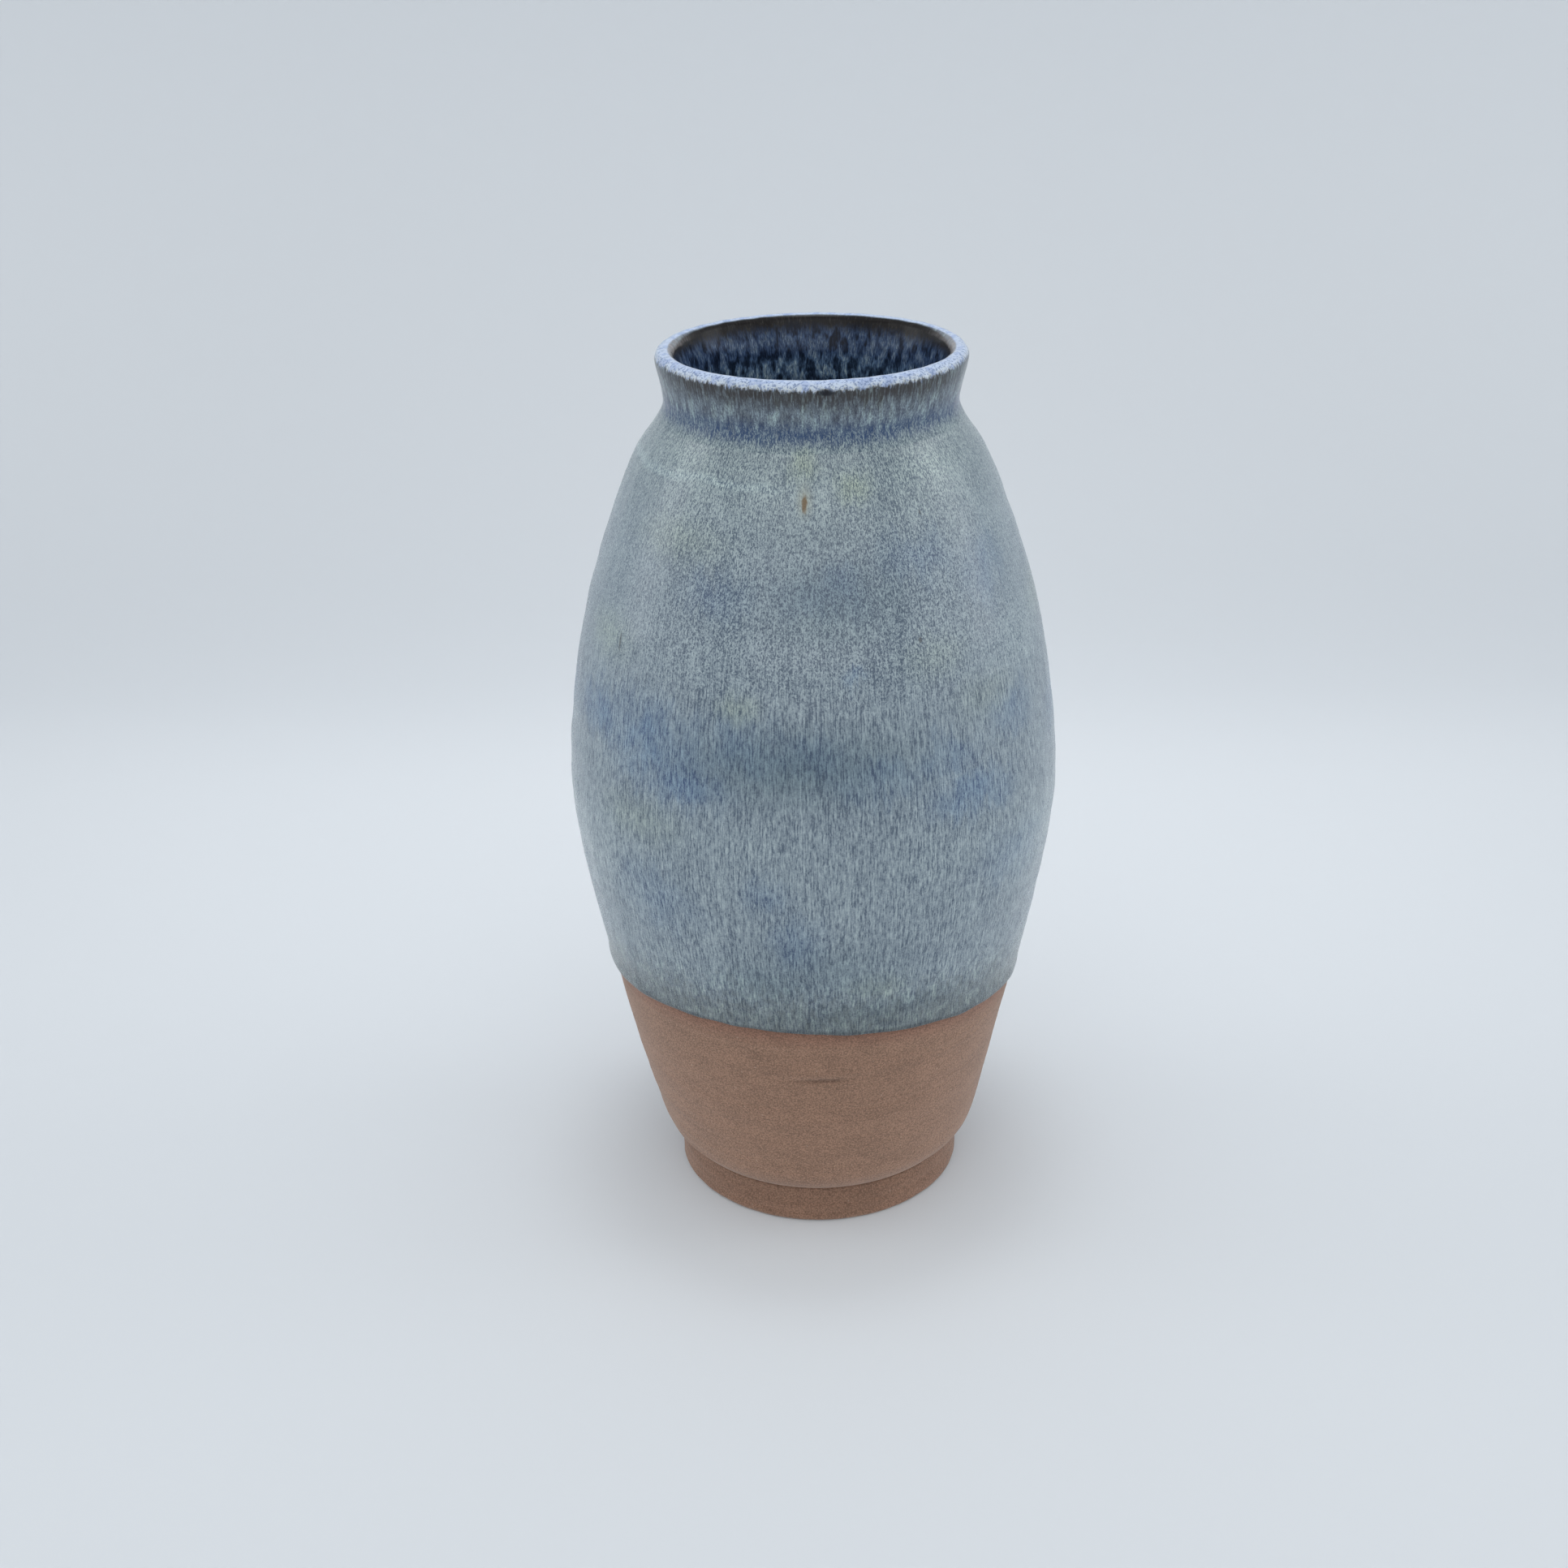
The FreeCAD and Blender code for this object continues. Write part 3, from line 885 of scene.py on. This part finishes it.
def bare_clay():
    """Matte fired clay: sandy grain, faint turned lines, a redder band under the glaze, darkened as
    painted shadow of the glaze's bead; darker towards the foot, partly darker clay and partly painted
    shade under the belly; painted shadow in the crease.
    """
    p = Paint("bare_stoneware")
    grain = p.noise(p.place, 0.42, detail=2.0, rough=0.7)
    cloud = p.noise(p.place, 9.0, (1, 1, 0.6), 3.0, 0.55, 4.0)
    lines = p.noise(p.wall, 0.8, (60, 60, 1), 3.0, 0.6, 8.0)
    bands = p.noise(p.wall, 4.5, (20, 20, 1), 2.0, 0.5, 12.0)
    shade = p.shifted(p.shifted(p.shifted(grain, cloud, 0.18), lines, 0.08), bands, 0.08)
    light = tuple(c * 1.38 for c in CLAY)
    dark = tuple(c * 0.62 for c in CLAY)
    colour = p.mix(p.span(shade, 0.28, 0.72), light, dark)
    # A redder band under the glaze; its darkening is painted shadow under the glaze's rolled edge.
    colour = p.tint(p.span(above_edge(p), -7.0, -0.5), colour, (0.88, 0.78, 0.78))
    # Darker towards the foot: partly darker clay, partly painted shade under the overhanging belly.
    low = p.span(p.shifted(p.z, cloud, 4.0), FOOT_TOP + 8, FOOT_TOP - 3)
    colour = p.tint(low, colour, (0.90, 0.87, 0.86))
    # Painted shade: the colour darkened in the crease, where shadow falls.
    colour = p.tint(p.blob(p.wall, *CREASE), colour, CREASE_PAINTED_SHADE)
    grog = p.specks(p.place, 2.3, 0.30)
    colour = p.mix(p.times(grog, 0.35), colour, DARK_GROG)
    pale = p.specks(p.vector("ADD", p.place, (31, 17, 5)), 3.6, 0.34)
    colour = p.mix(p.times(pale, 0.4), colour, PALE_GROG)
    p.shader.inputs["Specular IOR Level"].default_value = 0.25
    p.shader.inputs["Sheen Weight"].default_value = 0.16
    p.shader.inputs["Sheen Roughness"].default_value = 0.5
    p.shader.inputs["Diffuse Roughness"].default_value = 1.0
    roughness = p.span(grain, 0.2, 0.8, 0.78, 0.92)
    return p.finish(colour, roughness, [(lines, 0.03), (grain, 0.03)])


# --- Stage, camera and lights -----------------------------------------------------------

# The sweep, in metres: a flat floor, a quarter round, then an upright backdrop.
SWEEP_HALF_WIDTH = 3.0
FLOOR_NEAR_END = -3.0
BEND_START, BEND_RADIUS, BEND_STEPS = 0.33, 0.30, 24
BACKDROP_TOP = 2.6
FLOOR_TONE, FLOOR_TONE_END = (0.745, 0.765, 0.79, 1), 0.22
BACKDROP_TONE, BACKDROP_TONE_START = (0.645, 0.668, 0.697, 1), 0.44


def sweep_material():
    """Matte paper, a little darker from where it starts to curve up."""
    material = bpy.data.materials.new("sweep")
    material.use_nodes = True
    tree = material.node_tree
    shader = tree.nodes["Principled BSDF"]
    place = tree.nodes.new("ShaderNodeTexCoord")
    split = tree.nodes.new("ShaderNodeSeparateXYZ")
    ramp = tree.nodes.new("ShaderNodeValToRGB")
    ramp.color_ramp.interpolation = "EASE"
    near, far = ramp.color_ramp.elements
    near.position, near.color = FLOOR_TONE_END, FLOOR_TONE
    far.position, far.color = BACKDROP_TONE_START, BACKDROP_TONE
    tree.links.new(place.outputs["Object"], split.inputs[0])
    tree.links.new(split.outputs["Y"], ramp.inputs[0])
    tree.links.new(ramp.outputs["Color"], shader.inputs["Base Color"])
    shader.inputs["Roughness"].default_value = 0.7
    shader.inputs["Specular IOR Level"].default_value = 0.2
    return material


def sweep():
    """A pale floor that curves up into a backdrop behind the vase."""
    profile = [(FLOOR_NEAR_END, 0.0), (BEND_START, 0.0)]
    for step in range(1, BEND_STEPS + 1):
        turn = math.pi / 2 * step / BEND_STEPS
        profile.append((BEND_START + BEND_RADIUS * math.sin(turn), BEND_RADIUS * (1 - math.cos(turn))))
    profile.append((BEND_START + BEND_RADIUS, BACKDROP_TOP))
    points = [(x, y, z) for y, z in profile for x in (-SWEEP_HALF_WIDTH, SWEEP_HALF_WIDTH)]
    faces = [(2 * i, 2 * i + 1, 2 * i + 3, 2 * i + 2) for i in range(len(profile) - 1)]
    mesh = bpy.data.meshes.new("sweep")
    mesh.from_pydata(points, [], faces)
    mesh.shade_smooth()
    mesh.materials.append(sweep_material())
    floor = bpy.data.objects.new("sweep", mesh)
    bpy.context.scene.collection.objects.link(floor)


CAMERA_PLACE = (0, -0.4984, 0.3479)
CAMERA_PITCH, CAMERA_YAW, CAMERA_ROLL = 25.257, -0.963, -0.955  # degrees
LENS_MM, SENSOR_MM = 47.87, 36.0


def camera():
    """The viewpoint: above the vase and in front of it, looking down."""
    pitch, yaw, roll = (math.radians(a) for a in (CAMERA_PITCH, CAMERA_YAW, CAMERA_ROLL))
    ahead = np.array([math.sin(yaw) * math.cos(pitch), math.cos(yaw) * math.cos(pitch), -math.sin(pitch)])
    level = np.cross(ahead, (0, 0, 1))
    level /= np.linalg.norm(level)
    upright = np.cross(level, ahead)
    right = math.cos(roll) * level + math.sin(roll) * upright
    up = math.cos(roll) * upright - math.sin(roll) * level
    data = bpy.data.cameras.new("camera")
    data.sensor_width = SENSOR_MM
    data.lens = LENS_MM
    data.clip_start = 0.01
    seen_from = bpy.data.objects.new("camera", data)
    bpy.context.scene.collection.objects.link(seen_from)
    place = Matrix.Identity(4)
    for axis, way in enumerate((right, up, -ahead)):
        for row in range(3):
            place[row][axis] = way[row]
    place.translation = CAMERA_PLACE
    seen_from.matrix_world = place
    bpy.context.scene.camera = seen_from


COOL_WHITE = (0.95, 0.98, 1.0)


def put_light(data, place, target, power):
    """A light of the studio's one colour, at a place and aimed at a target."""
    data.energy = power
    data.color = COOL_WHITE
    light = bpy.data.objects.new(data.name, data)
    bpy.context.scene.collection.objects.link(light)
    light.location = place
    light.rotation_euler = (Vector(target) - light.location).to_track_quat("-Z", "Y").to_euler()


def area_light(name, place, target, size, power):
    data = bpy.data.lights.new(name, "AREA")
    data.shape = "RECTANGLE"
    data.size, data.size_y = size
    put_light(data, place, target, power)


def spot_light(name, place, target, angle, power):
    data = bpy.data.lights.new(name, "SPOT")
    data.spot_size = math.radians(angle)
    data.spot_blend = 1.0
    data.shadow_soft_size = 0.25
    put_light(data, place, target, power)


def lights():
    """Soft panels all round, a pool of light on the floor behind the vase, and a dim sky."""
    vase = (0, 0, 0.1)
    area_light("overhead", (0, 0.1, 1.7), (0, 0.1, 0), (2.6, 2.6), 8.0)
    area_light("left", (-1.8, -0.2, 0.65), vase, (2.4, 1.3), 6.0)
    area_light("right", (1.8, -0.2, 0.65), vase, (2.4, 1.3), 7.5)
    area_light("back_left", (-1.9, 1.0, 0.9), vase, (2.6, 2.2), 17.0)
    area_light("back_right", (1.9, 1.0, 0.9), vase, (2.6, 2.2), 17.0)
    area_light("front", (0, -2.0, 1.2), vase, (3.0, 2.0), 18.0)
    spot_light("pool", (0, 0.2, 1.3), (0, 0.2, 0), 30, 18.0)
    world = bpy.data.worlds.new("world")
    world.use_nodes = True
    sky = world.node_tree.nodes["Background"]
    sky.inputs["Color"].default_value = (0.93, 0.97, 1.0, 1)
    sky.inputs["Strength"].default_value = 0.5
    bpy.context.scene.world = world


bpy.context.scene.view_settings.view_transform = "Standard"
camera()
lights()
sweep()
clay = bare_clay()
finish_piece(foot_ring(), "foot_ring", clay)
finish_piece(clay_body(), "clay_body", clay)
finish_piece(outer_glaze(), "outer_glaze", streaked_glaze())
finish_piece(rim_glaze(), "rim_glaze", rim_glaze_finish())
finish_piece(liner_glaze(), "liner_glaze", liner_finish())
